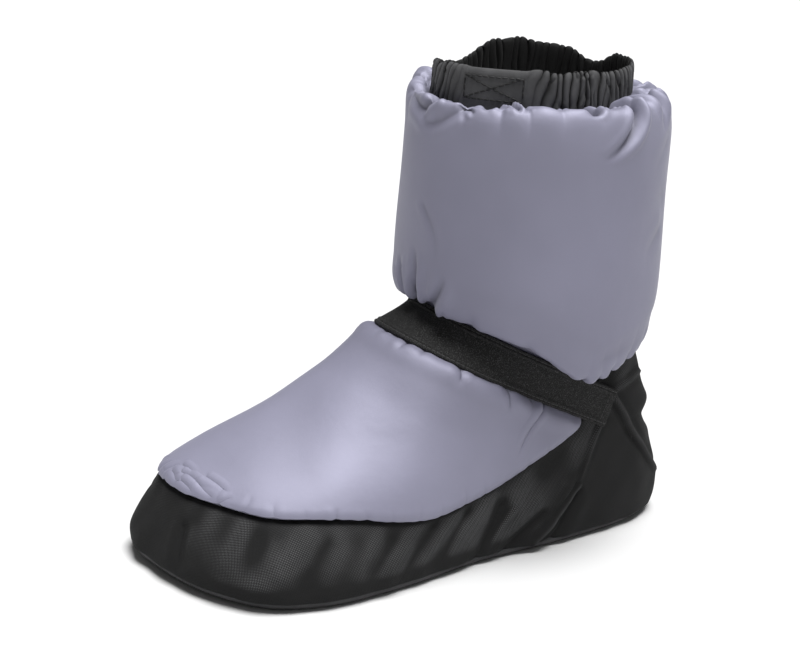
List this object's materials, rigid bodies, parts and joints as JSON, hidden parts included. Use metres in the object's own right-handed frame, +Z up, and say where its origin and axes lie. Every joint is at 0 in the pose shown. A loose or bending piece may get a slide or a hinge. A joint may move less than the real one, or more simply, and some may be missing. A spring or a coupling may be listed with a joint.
{
  "type": "dance warm-up bootie",
  "caption": "Padded warm-up bootie for the left foot: puffy satin shaft and vamp, woven rand and counter, ruched collar, elastic instep strap.",
  "frame": {"origin": "on the floor, under the middle of the foot's length, on the sole's underside", "axes": "+X to the toe, +Y to the wearer's left, which is the outer side, +Z up"},
  "size_m": [0.2874, 0.13, 0.2472],
  "materials": {
    "sole": "matt textured non-slip",
    "insole": "brushed knit over foam",
    "satin": "satin nylon over wadding",
    "twill": "matt twill weave",
    "cuff": "matt ruched weave",
    "elastic": "woven elastic"
  },
  "bodies": {
    "root": {"sole": "sole", "insole": "insole", "upper": "satin", "rand": "twill", "cuff": "cuff", "instep_strap": "elastic"}
  },
  "joints": []
}
